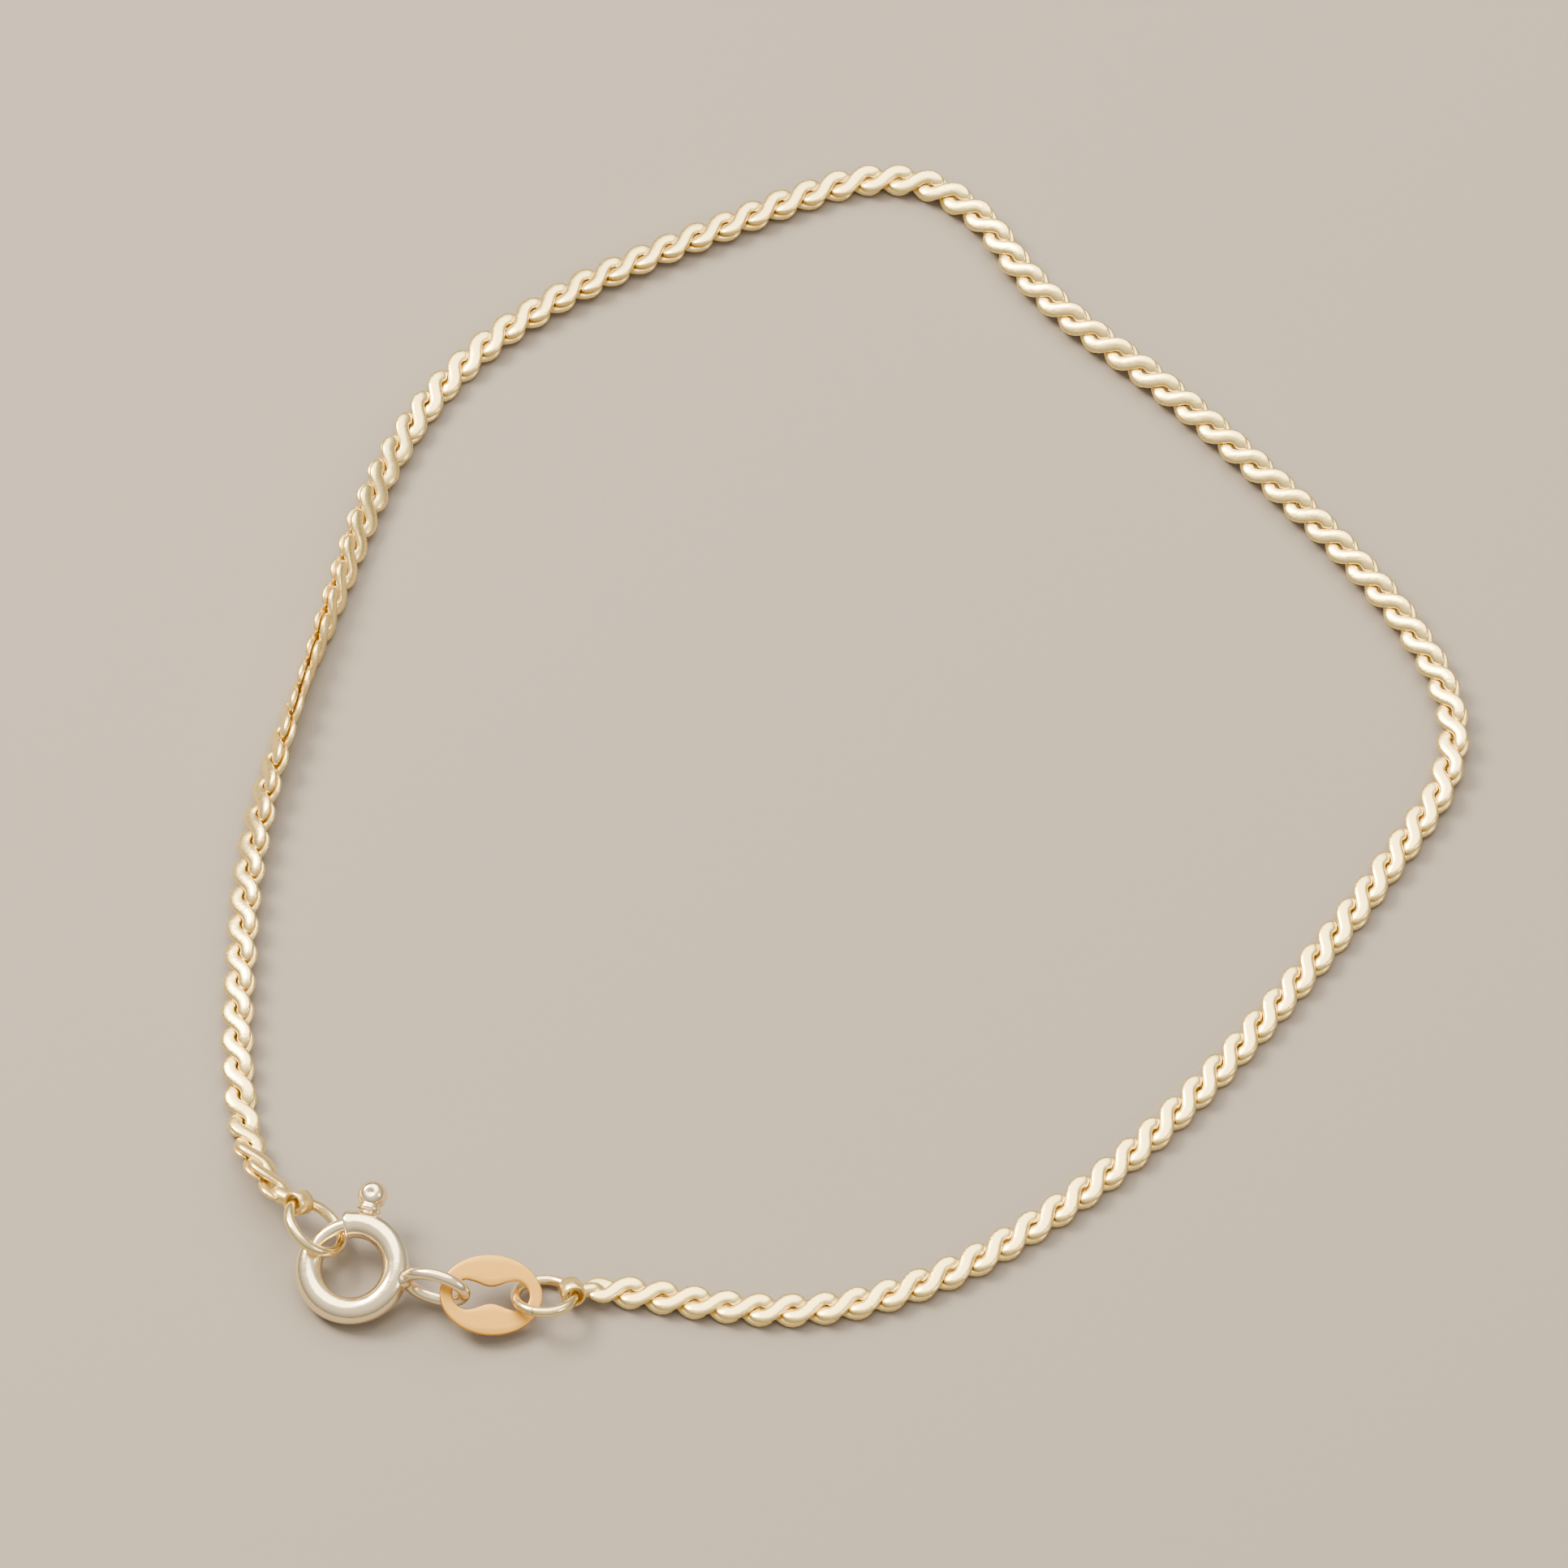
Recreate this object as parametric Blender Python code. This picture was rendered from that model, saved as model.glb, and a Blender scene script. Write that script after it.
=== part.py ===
# Serpentine link bracelet with a spring ring clasp, lying closed on a table.
# Metres, +Z up. Sizes below are in millimetres and are scaled where they are used.

import bpy
import bmesh
from math import cos, sin, pi, radians
from mathutils import Matrix, Vector

mm = 0.001

# chain
chain_link_pitch = 1.545
chain_link_wire_width = 0.62
chain_link_lobe_height = 0.50
chain_layer_thickness = 0.38
chain_layer_gap = 0.04
chain_half_width = chain_link_lobe_height + chain_link_wire_width / 2
chain_half_thickness = chain_layer_thickness + chain_layer_gap / 2

# one link's centre line, in pitches along the chain and lobe heights across it
link_shape = [
    ("first tip", -0.72, -0.50),
    ("first lobe start", -0.60, -1.00),
    ("first lobe end", -0.40, -1.00),
    ("second lobe start", 0.40, 1.00),
    ("second lobe end", 0.60, 1.00),
    ("second tip", 0.72, 0.50),
]

# route of the chain: x, y in mm, roll in degrees, extra height in mm
chain_route = [
    ("clasp end", -26.95, -26.30, -50, 0.73),
    ("first links", -28.17, -24.30, -38, 0.37),
    ("first turn", -28.70, -22.62, -12, 0.08),
    ("left low", -29.08, -20.20, 8, 0.0),
    ("left flat", -29.30, -16.12, 20, 0.0),
    ("left flat end", -29.10, -9.77, 24, 0.0),
    ("twist start", -28.76, -6.63, 30, 0.0),
    ("twist low", -28.21, -3.58, 42, 0.0),
    ("twist half", -27.45, -0.53, 60, 0.0),
    ("on edge", -26.55, 2.59, 82, 0.0),
    ("past edge", -25.60, 5.66, 102, 0.0),
    ("twist high", -24.65, 8.92, 122, 0.0),
    ("leaning", -23.79, 11.90, 138, 0.0),
    ("leaning less", -22.65, 15.04, 152, 0.0),
    ("upper left", -21.06, 18.14, 168, 0.0),
    ("upper left turn", -19.31, 20.55, 180, 0.0),
    ("upper left end", -17.14, 22.70, 187, 0.0),
    ("top left", -14.01, 24.97, 190, 0.0),
    ("top", -10.32, 27.00, 190, 0.0),
    ("top middle", -6.65, 28.73, 188, 0.0),
    ("crown start", -2.57, 30.64, 184, 0.0),
    ("crown", 0.15, 31.62, 178, 0.0),
    ("crown end", 2.58, 31.72, 172, 0.0),
    ("crown turn", 4.65, 31.06, 166, 0.0),
    ("upper right turn", 6.83, 29.12, 158, 0.0),
    ("upper right", 8.68, 26.19, 154, 0.0),
    ("right slope", 11.07, 23.41, 154, 0.0),
    ("right slope low", 15.29, 19.66, 156, 0.0),
    ("right slope middle", 19.59, 15.24, 157, 0.0),
    ("right slope end", 23.64, 10.66, 156, 0.0),
    ("right bend start", 26.02, 7.52, 154, 0.0),
    ("right bend high", 27.61, 4.99, 154, 0.0),
    ("right bend", 28.80, 2.41, 156, 0.0),
    ("rightmost", 29.30, -0.36, 162, 0.0),
    ("right bend low", 28.58, -3.40, 170, 0.0),
    ("right bend end", 26.98, -6.08, 176, 0.0),
    ("lower right", 23.47, -11.21, 180, 0.0),
    ("lower right slope", 19.76, -16.11, 180, 0.0),
    ("lower right middle", 15.85, -20.74, 180, 0.0),
    ("lower right end", 11.64, -24.88, 180, 0.0),
    ("bottom right", 7.02, -28.35, 180, 0.0),
    ("bottom turn", 4.53, -29.76, 180, 0.0),
    ("bottom", 1.93, -30.85, 180, 0.0),
    ("bottom middle", -0.73, -31.53, 180, 0.0),
    ("bottom low", -3.45, -31.72, 180, 0.0),
    ("bottom left", -6.19, -31.48, 180, 0.0),
    ("tag side", -8.92, -31.03, 180, 0.0),
    ("tag side end", -11.10, -30.70, 180, 0.04),
    ("tag end", -12.25, -30.76, 180, 0.24),
]

# spring ring
ring_radius = 2.10
ring_tube_radius = 0.65
ring_bore_radius = 0.42
ring_centre = (-23.51, -29.88, 1.24)
ring_lean_x = -8.0
ring_lean_y = -14.0
gap_start = 100.0
gap_end = 158.0
collar_swell = 1.07
slot_cut_radius = 0.50
slot_cut_depth = 0.30
slot_end_play = 2.5

# eye loop soldered to the spring ring
eye_angle = -15.0
eye_wire_radius = 0.30
eye_half_length = 1.42
eye_half_height = 0.96
eye_distance = 4.12
eye_lean = 22.0

# bolt and thumb knob
bolt_radius = 0.33
bolt_tip = 164.0
bolt_tail = 52.0
knob_angle = 75.0
knob_travel = 64.0
knob_distance = 3.60
knob_radius = 0.71
knob_stem_radius = 0.34
knob_flare_radius = 0.60
knob_neck_radius = 0.48
knob_dimple_radius = 0.16

# jump ring between the chain and the clasp
clasp_ring_radius = 1.473
clasp_ring_wire = 0.27
clasp_ring_centre = (-25.282, -28.037, 1.786)
clasp_ring_lean_x = 49.2
clasp_ring_lean_y = 20.0

# jump ring between the tag and the chain
tag_ring_radius = 1.372
tag_ring_wire = 0.25
tag_ring_centre = (-14.459, -31.267, 1.006)
tag_ring_lean_x = 0.0
tag_ring_lean_y = 34.3

# tag
tag_half_length = 2.43
tag_half_width = 1.93
tag_thickness = 0.28
tag_centre = (-16.97, -31.34, 1.22)
tag_lean_x = 9.2
tag_lean_y = -16.5
tag_slot_half_length = 1.83
tag_slot_end_radius = 0.72
tag_slot_waist = 0.42

# eyes at the chain's ends
end_eye_radius = 0.59
end_eye_bore = 0.42
end_eye_width = 0.95
end_neck_radius = 0.38
end_eye_shift = 0.03


def clear_scene():
    for obj in list(bpy.data.objects):
        bpy.data.objects.remove(obj, do_unlink=True)


def make_collection(name, hidden=False):
    made = bpy.data.collections.new(name)
    bpy.context.scene.collection.children.link(made)
    made.hide_render = hidden
    return made


def silver(name, colour, roughness):
    made = bpy.data.materials.new(name)
    made.use_nodes = True
    shader = made.node_tree.nodes["Principled BSDF"]
    shader.inputs["Base Color"].default_value = (*colour, 1.0)
    shader.inputs["Metallic"].default_value = 1.0
    shader.inputs["Roughness"].default_value = roughness
    made.diffuse_color = (*colour, 1.0)
    return made


def leaning_frame(lean_x, lean_y):
    """Axes of a flat piece whose upward normal leans by these angles."""
    normal = Vector((sin(radians(lean_x)), sin(radians(lean_y)), 1.0)).normalized()
    across = Vector((1, 0, 0))
    across = (across - across.dot(normal) * normal).normalized()
    return across, normal.cross(across), normal


def frame_matrix(centre, axes):
    """Matrix in metres that takes local millimetres to this frame."""
    turned = Matrix((axes[0], axes[1], axes[2])).transposed().to_4x4()
    return Matrix.Translation(Vector(centre) * mm) @ turned @ Matrix.Scale(mm, 4)


def new_object(name, mesh, collection, material=None):
    made = bpy.data.objects.new(name, mesh)
    collection.objects.link(made)
    if material:
        mesh.materials.clear()
        mesh.materials.append(material)
    return made


def wire(name, points, radius, collection, closed=False, resolution=4, swell=None):
    """A round wire through the points, as a closed mesh object."""
    data = bpy.data.curves.new(name + "_curve", "CURVE")
    data.dimensions = "3D"
    data.bevel_depth = radius
    data.bevel_resolution = resolution
    data.use_fill_caps = not closed
    spline = data.splines.new("POLY")
    spline.points.add(len(points) - 1)
    for index, point in enumerate(points):
        spline.points[index].co = (*point, 1.0)
        if swell:
            spline.points[index].radius = swell[index]
    spline.use_cyclic_u = closed
    curve = bpy.data.objects.new(name + "_curve", data)
    collection.objects.link(curve)
    bpy.context.view_layer.update()
    evaluated = curve.evaluated_get(bpy.context.evaluated_depsgraph_get())
    mesh = bpy.data.meshes.new_from_object(evaluated)
    made = new_object(name, mesh, collection)
    made.matrix_world = curve.matrix_world
    bpy.data.objects.remove(curve, do_unlink=True)
    work = bmesh.new()
    work.from_mesh(mesh)
    bmesh.ops.remove_doubles(work, verts=work.verts, dist=0.0005)
    bmesh.ops.recalc_face_normals(work, faces=work.faces)
    work.to_mesh(mesh)
    work.free()
    return made


def arc(radius, start, end, count):
    step = (end - start) / (count - 1)
    angles = [radians(start + step * index) for index in range(count)]
    return [Vector((radius * cos(a), radius * sin(a), 0)) for a in angles]


def bake(obj, matrix):
    obj.data.transform(matrix)
    obj.matrix_world = Matrix.Identity(4)


def combine(target, other, operation, keep_other=False):
    """Boolean of two closed meshes, written into the target."""
    step = target.modifiers.new(operation.lower(), "BOOLEAN")
    step.operation = operation
    step.solver = "EXACT"
    step.object = other
    bpy.context.view_layer.update()
    evaluated = target.evaluated_get(bpy.context.evaluated_depsgraph_get())
    result = bpy.data.meshes.new_from_object(evaluated)
    target.modifiers.clear()
    old = target.data
    target.data = result
    result.name = target.name
    bpy.data.meshes.remove(old)
    if not keep_other:
        bpy.data.objects.remove(other, do_unlink=True)


def from_bmesh(name, build, collection, material=None):
    mesh = bpy.data.meshes.new(name)
    work = bmesh.new()
    build(work)
    bmesh.ops.recalc_face_normals(work, faces=work.faces)
    work.to_mesh(mesh)
    work.free()
    return new_object(name, mesh, collection, material)


def smooth(obj, angle=40.0):
    obj.data.shade_smooth()
    obj.data.set_sharp_from_angle(angle=radians(angle))


# chain route


def roll_height(roll):
    turned = radians(roll)
    return chain_half_width * abs(sin(turned)) + chain_half_thickness * abs(cos(turned))


def route_samples(per_span=16):
    """Positions and rolls along the route, from a curve through its stations."""
    stations = [Vector((x, y, roll, lift)) for _, x, y, roll, lift in chain_route]
    stations = [stations[0] * 2 - stations[1]] + stations + [stations[-1] * 2 - stations[-2]]
    samples = []
    for index in range(1, len(stations) - 2):
        before, start, end, after = stations[index - 1 : index + 3]
        for part in range(per_span):
            t = part / per_span
            slope = (end - before) / 2
            next_slope = (after - start) / 2
            value = start * (2 * t**3 - 3 * t**2 + 1) + slope * (t**3 - 2 * t**2 + t)
            value = value + end * (3 * t**2 - 2 * t**3) + next_slope * (t**3 - t**2)
            samples.append(value)
    samples.append(stations[-2])
    centres = []
    for sample in samples:
        centres.append(Vector((sample[0], sample[1], roll_height(sample[2]) + sample[3])))
    rolls = [sample[2] for sample in samples]
    lengths = [0.0]
    for first, second in zip(centres, centres[1:]):
        lengths.append(lengths[-1] + (second - first).length)
    return centres, rolls, lengths


class Route:
    def __init__(self):
        self.centres, self.rolls, self.lengths = route_samples()
        self.length = self.lengths[-1]

    def at(self, distance):
        """Centre, direction, sideways axis and face normal at a distance in mm."""
        low, high = 0, len(self.lengths) - 2
        while low < high:
            middle = (low + high + 1) // 2
            if self.lengths[middle] <= distance:
                low = middle
            else:
                high = middle - 1
        span = self.lengths[low + 1] - self.lengths[low]
        part = (distance - self.lengths[low]) / span
        centre = self.centres[low].lerp(self.centres[low + 1], part)
        roll = radians(self.rolls[low] * (1 - part) + self.rolls[low + 1] * part)
        before = self.centres[max(low - 3, 0)]
        after = self.centres[min(low + 4, len(self.centres) - 1)]
        along = (after - before).normalized()
        left = Vector((0, 0, 1)).cross(along).normalized()
        up = along.cross(left)
        side = left * cos(roll) - up * sin(roll)
        return centre, along, side, up * cos(roll) + left * sin(roll)

    def place(self, distance, across, height):
        centre, _, side, normal = self.at(distance)
        return (centre + side * across + normal * height) * mm


def link_outline(pitch):
    """Left and right edges of one link's flat wire, mitred at each bend."""
    middle = [Vector((x * pitch, y * chain_link_lobe_height)) for _, x, y in link_shape]
    left, right = [], []
    for index, point in enumerate(middle):
        legs = []
        if index > 0:
            legs.append((point - middle[index - 1]).normalized())
        if index < len(middle) - 1:
            legs.append((middle[index + 1] - point).normalized())
        bisector = sum((Vector((-leg.y, leg.x)) for leg in legs), Vector((0, 0)))
        bisector.normalize()
        reach = chain_link_wire_width / 2
        reach = reach / bisector.dot(Vector((-legs[0].y, legs[0].x)))
        left.append(point + bisector * reach)
        right.append(point - bisector * reach)
    return left, right


def build_chain(route, collection, material):
    """Two layers of flat S links; each link is joined to the next by the other layer's."""
    count = round(route.length / chain_link_pitch - 0.5)
    pitch = route.length / (count + 0.5)
    left, right = link_outline(pitch)
    inner, outer = chain_layer_gap / 2, chain_half_thickness
    last = len(link_shape) - 2

    def fill(work):
        corners = {}
        for layer in (1, -1):
            for number in range(count):
                start = (number + 0.75) * pitch
                for edge, outline in (("left", left), ("right", right)):
                    for step, spot in enumerate(outline):
                        for skin, height in (("inner", inner), ("outer", outer)):
                            place = route.place(start + spot.x, spot.y * layer, height * layer)
                            corners[layer, number, edge, step, skin] = work.verts.new(place)
        for layer in (1, -1):
            for number in range(count):

                def corner(edge, step, skin):
                    return corners[layer, number, edge, step, skin]

                for step in range(last + 1):
                    after = step + 1
                    for edge in ("left", "right"):
                        face = [corner(edge, step, "inner"), corner(edge, after, "inner")]
                        face += [corner(edge, after, "outer"), corner(edge, step, "outer")]
                        work.faces.new(face)
                    for skin in ("inner", "outer"):
                        joined = step == 1 and number > 0
                        joined = joined or (step == last - 1 and number < count - 1)
                        if skin == "inner" and joined:
                            continue
                        face = [corner("left", step, skin), corner("left", after, skin)]
                        face += [corner("right", after, skin), corner("right", step, skin)]
                        work.faces.new(face)
                for step in (0, last + 1):
                    face = [corner("left", step, "inner"), corner("left", step, "outer")]
                    face += [corner("right", step, "outer"), corner("right", step, "inner")]
                    work.faces.new(face)
        # joints between the layers, one above each lobe
        for layer in (1, -1):
            for number in range(count - 1):
                near = [
                    corners[layer, number, "left", last - 1, "inner"],
                    corners[layer, number, "left", last, "inner"],
                    corners[layer, number, "right", last, "inner"],
                    corners[layer, number, "right", last - 1, "inner"],
                ]
                far = [
                    corners[-layer, number + 1, "right", 1, "inner"],
                    corners[-layer, number + 1, "right", 2, "inner"],
                    corners[-layer, number + 1, "left", 2, "inner"],
                    corners[-layer, number + 1, "left", 1, "inner"],
                ]
                for step in range(4):
                    after = (step + 1) % 4
                    work.faces.new([near[step], near[after], far[after], far[step]])

    made = from_bmesh("chain", fill, collection, material)
    return made, pitch


def end_eye(name, spot, axis, inward, target, collection):
    """A short barrel that a jump ring passes through, with a neck into the chain."""
    turned = axis.to_track_quat("Z", "Y").to_matrix().to_4x4()
    place = Matrix.Translation(spot * mm) @ turned

    def barrel(radius, length):
        def fill(work):
            bmesh.ops.create_cone(
                work,
                cap_ends=True,
                segments=14,
                radius1=radius * mm,
                radius2=radius * mm,
                depth=length * mm,
                matrix=place,
            )

        return fill

    eye = from_bmesh(name, barrel(end_eye_radius, end_eye_width), collection)
    neck_line = [spot + inward * (end_eye_bore + 0.12), target[0], target[1]]
    neck = wire(name + "_neck", neck_line, end_neck_radius, collection, resolution=2)
    neck.data.transform(Matrix.Scale(mm, 4))
    combine(eye, neck, "UNION")
    hole = from_bmesh(name + "_bore", barrel(end_eye_bore, end_eye_width * 2), collection)
    combine(eye, hole, "DIFFERENCE")
    return eye


def ring_contact(centre, axes, radius, toward):
    """The point of a jump ring nearest this point, and the ring's direction there."""
    away = toward - centre
    away = (away - away.dot(axes[2]) * axes[2]).normalized()
    return centre + away * (radius - end_eye_shift), axes[2].cross(away)


def torus(name, radius, wire_radius, matrix, collection, material):
    turns = [radians(360 * index / 20) for index in range(20)]
    points = [Vector((radius * cos(a), radius * sin(a), 0)) for a in turns]
    made = wire(name, points, wire_radius, collection, closed=True, resolution=2)
    bake(made, matrix)
    made.data.materials.append(material)
    smooth(made, 50)
    return made


def build_spring_ring(collection, material):
    axes = leaning_frame(ring_lean_x, ring_lean_y)
    matrix = frame_matrix(ring_centre, axes)
    tube_arc = arc(ring_radius, gap_end, gap_start + 360, 27)
    swell = [1.0] * len(tube_arc)
    swell[0] = swell[-1] = swell[-2] = collar_swell
    ring = wire("spring_ring", tube_arc, ring_tube_radius, collection, swell=swell)

    # soldered eye loop, standing across the ring
    turned = radians(eye_lean)
    out = Vector((cos(radians(eye_angle)), sin(radians(eye_angle)), 0))
    round_way = Vector((-out.y, out.x, 0))
    rise = Vector((0, 0, 1)) * cos(turned) + round_way * sin(turned)
    loop = []
    for index in range(20):
        a = radians(18 * index)
        spot = out * (eye_distance + eye_half_length * cos(a))
        loop.append(spot + rise * (eye_half_height * sin(a)))
    eye = wire("eye_loop", loop, eye_wire_radius, collection, closed=True, resolution=3)
    combine(ring, eye, "UNION")

    bore_arc = arc(ring_radius, gap_end - 12, gap_start + 372, 29)
    bore = wire("ring_bore", bore_arc, ring_bore_radius, collection, resolution=2)
    combine(ring, bore, "DIFFERENCE")
    stem_half = slot_end_play + 180 / pi * knob_stem_radius / (ring_radius + ring_bore_radius / 2)
    slot_arc = arc(
        ring_radius + ring_tube_radius - slot_cut_depth,
        knob_angle - knob_travel - stem_half,
        knob_angle + stem_half,
        13,
    )
    slot = wire("ring_slot", slot_arc, slot_cut_radius, collection)
    combine(ring, slot, "DIFFERENCE")
    bake(ring, matrix)
    ring.data.materials.clear()
    ring.data.materials.append(material)
    smooth(ring)
    return ring


def build_bolt(collection, material):
    bolt = wire("spring_ring_bolt", arc(ring_radius, bolt_tail, bolt_tip, 15), bolt_radius, collection)
    a = radians(knob_angle)
    out = Vector((cos(a), sin(a), 0))
    turned = out.to_track_quat("Z", "Y").to_matrix().to_4x4()

    def stem(work):
        start, end = ring_radius, knob_distance
        bmesh.ops.create_cone(
            work,
            cap_ends=True,
            segments=12,
            radius1=knob_stem_radius,
            radius2=knob_stem_radius,
            depth=end - start,
            matrix=Matrix.Translation(out * (start + end) / 2) @ turned,
        )

    def flare(work):
        start, end = ring_radius + ring_tube_radius + 0.07, knob_distance - 0.2
        bmesh.ops.create_cone(
            work,
            cap_ends=True,
            segments=16,
            radius1=knob_flare_radius,
            radius2=knob_neck_radius,
            depth=end - start,
            matrix=Matrix.Translation(out * (start + end) / 2) @ turned,
        )

    def head(work):
        bmesh.ops.create_uvsphere(
            work,
            u_segments=16,
            v_segments=10,
            radius=knob_radius,
            matrix=Matrix.Translation(out * knob_distance),
        )

    def dimple(work):
        spot = out * knob_distance + Vector((0, 0, knob_radius))
        bmesh.ops.create_uvsphere(
            work,
            u_segments=10,
            v_segments=6,
            radius=knob_dimple_radius,
            matrix=Matrix.Translation(spot),
        )

    for name, shape in (("stem", stem), ("flare", flare), ("head", head)):
        combine(bolt, from_bmesh("knob_" + name, shape, collection), "UNION")
    combine(bolt, from_bmesh("knob_dimple", dimple, collection), "DIFFERENCE")
    matrix = frame_matrix(ring_centre, leaning_frame(ring_lean_x, ring_lean_y))
    # the bolt's origin stays on the clasp's centre axis, about which it slides
    bolt.data.transform(Matrix.Scale(mm, 4))
    bolt.matrix_world = matrix @ Matrix.Scale(1 / mm, 4)
    bolt.data.materials.clear()
    bolt.data.materials.append(material)
    smooth(bolt)
    return bolt


def slot_outline():
    """Waisted slot: round ends joined by edges that bow toward the middle."""
    centre = tag_slot_half_length - tag_slot_end_radius
    points = []
    for index in range(7):
        a = radians(-75 + 25 * index)
        points.append((centre + tag_slot_end_radius * cos(a), tag_slot_end_radius * sin(a)))
    for index in (1, 2, 3, 4, 5):
        x = centre * (1 - index / 3)
        bow = cos(pi * x / (2 * centre)) ** 2
        y = tag_slot_end_radius * 0.97 + (tag_slot_waist - tag_slot_end_radius * 0.97) * bow
        points.append((x, y))
    turned = [(-x, -y) for x, y in points]
    return points + turned


def build_tag(collection, material):
    data = bpy.data.curves.new("tag_outline", "CURVE")
    data.dimensions = "2D"
    data.fill_mode = "BOTH"
    bevel = 0.03
    data.extrude = tag_thickness / 2 - bevel
    data.bevel_depth = bevel
    data.bevel_resolution = 0
    rim = []
    for index in range(32):
        a = radians(360 * index / 32)
        rim.append(((tag_half_length - bevel) * cos(a), (tag_half_width - bevel) * sin(a)))
    for outline in (rim, slot_outline()):
        spline = data.splines.new("POLY")
        spline.points.add(len(outline) - 1)
        for index, (x, y) in enumerate(outline):
            spline.points[index].co = (x, y, 0, 1)
        spline.use_cyclic_u = True
    curve = bpy.data.objects.new("tag_outline", data)
    collection.objects.link(curve)
    bpy.context.view_layer.update()
    evaluated = curve.evaluated_get(bpy.context.evaluated_depsgraph_get())
    mesh = bpy.data.meshes.new_from_object(evaluated)
    bpy.data.objects.remove(curve, do_unlink=True)
    work = bmesh.new()
    work.from_mesh(mesh)
    bmesh.ops.remove_doubles(work, verts=work.verts, dist=0.001)
    bmesh.ops.recalc_face_normals(work, faces=work.faces)
    work.to_mesh(mesh)
    work.free()
    tag = new_object("chain_tag", mesh, collection, material)
    bake(tag, frame_matrix(tag_centre, leaning_frame(tag_lean_x, tag_lean_y)))
    return tag


def centre_on_table(objects):
    """Moves the whole part so that its box stands on the origin."""
    bpy.context.view_layer.update()
    corners = []
    for obj in objects:
        corners += [obj.matrix_world @ vertex.co for vertex in obj.data.vertices]
    low = Vector([min(corner[axis] for corner in corners) for axis in range(3)])
    high = Vector([max(corner[axis] for corner in corners) for axis in range(3)])
    shift = Vector((-(low.x + high.x) / 2, -(low.y + high.y) / 2, -low.z))
    for obj in objects:
        obj.matrix_world = Matrix.Translation(shift) @ obj.matrix_world
    print("moved by", [round(value / mm, 4) for value in shift])


def build_bracelet():
    clear_scene()
    parts = make_collection("serpentine_bracelet")
    route = Route()
    chain, pitch = build_chain(route, parts, silver("chain_silver", (0.90, 0.86, 0.78), 0.22))

    clasp_axes = leaning_frame(clasp_ring_lean_x, clasp_ring_lean_y)
    tag_axes = leaning_frame(tag_ring_lean_x, tag_ring_lean_y)
    ends = (
        ("end_eye_clasp", clasp_ring_centre, clasp_axes, clasp_ring_radius, 0.0, 1),
        ("end_eye_tag", tag_ring_centre, tag_axes, tag_ring_radius, route.length, -1),
    )
    for name, centre, axes, radius, distance, way in ends:
        near = route.at(distance)[0]
        deep = route.at(distance + way * pitch * 0.35)[0]
        spot, axis = ring_contact(Vector(centre), axes, radius, near)
        inward = (near - spot).normalized()
        eye = end_eye(name, spot, axis, inward, (near, deep), parts)
        combine(chain, eye, "UNION")
    chain.data.materials.clear()
    chain.data.materials.append(bpy.data.materials["chain_silver"])

    build_spring_ring(parts, silver("clasp_silver", (0.92, 0.89, 0.83), 0.16))
    build_bolt(parts, silver("bolt_silver", (0.92, 0.89, 0.83), 0.18))
    torus(
        "jump_ring_clasp",
        clasp_ring_radius,
        clasp_ring_wire,
        frame_matrix(clasp_ring_centre, clasp_axes),
        parts,
        silver("clasp_jump_ring_silver", (0.90, 0.86, 0.78), 0.2),
    )
    torus(
        "jump_ring_tag",
        tag_ring_radius,
        tag_ring_wire,
        frame_matrix(tag_ring_centre, tag_axes),
        parts,
        silver("tag_jump_ring_silver", (0.90, 0.86, 0.78), 0.2),
    )
    build_tag(parts, silver("tag_silver", (0.90, 0.80, 0.66), 0.25))
    centre_on_table(list(parts.objects))


build_bracelet()
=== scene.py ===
# Serpentine link bracelet in sterling silver, closed by a spring ring clasp, lying on a table.
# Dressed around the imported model: metres, +Z up. Sizes in the dictionaries are millimetres
# and angles are degrees, unless a note says otherwise.

import random
from math import cos, pi, radians, sin

import bmesh
import bpy
from mathutils import Matrix, Vector


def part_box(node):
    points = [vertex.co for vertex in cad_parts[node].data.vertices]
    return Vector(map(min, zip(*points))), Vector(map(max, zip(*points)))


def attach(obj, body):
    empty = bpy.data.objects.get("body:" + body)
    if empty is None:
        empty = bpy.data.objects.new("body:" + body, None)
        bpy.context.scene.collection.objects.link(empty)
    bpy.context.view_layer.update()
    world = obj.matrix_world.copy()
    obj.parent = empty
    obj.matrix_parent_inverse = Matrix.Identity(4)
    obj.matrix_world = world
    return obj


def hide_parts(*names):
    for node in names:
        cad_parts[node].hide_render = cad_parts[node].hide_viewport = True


mm = 0.001

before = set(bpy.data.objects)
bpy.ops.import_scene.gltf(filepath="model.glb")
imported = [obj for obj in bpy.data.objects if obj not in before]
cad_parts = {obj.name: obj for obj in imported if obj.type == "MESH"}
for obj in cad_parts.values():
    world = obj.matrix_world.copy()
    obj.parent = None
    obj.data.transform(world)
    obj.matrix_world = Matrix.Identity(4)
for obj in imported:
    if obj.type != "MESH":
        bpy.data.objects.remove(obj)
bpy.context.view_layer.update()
print("frame loaded:", sorted(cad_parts))


# camera, floor and lights

cameraView = {
    "elevation": 60.0,
    "distance": 500.0,
    "aim": (-3.1930, -2.5939, 0.0054),
    "focalPixels": 12714.7,
    "framePixels": 1932,
    "sensor": 36.0,
}

studio = {
    "floorSize": 1600.0,
    "floorColour": "#837A6E",
    "floorRoughness": 0.72,
    "toothSize": 0.6,
    "toothDepth": 0.02,
    "skyColour": "#F3EEE6",
    "horizonHeight": 0.05,
    "horizonStrength": 0.30,
    "zenithHeight": 0.95,
    "zenithStrength": 1.50,
}

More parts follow.
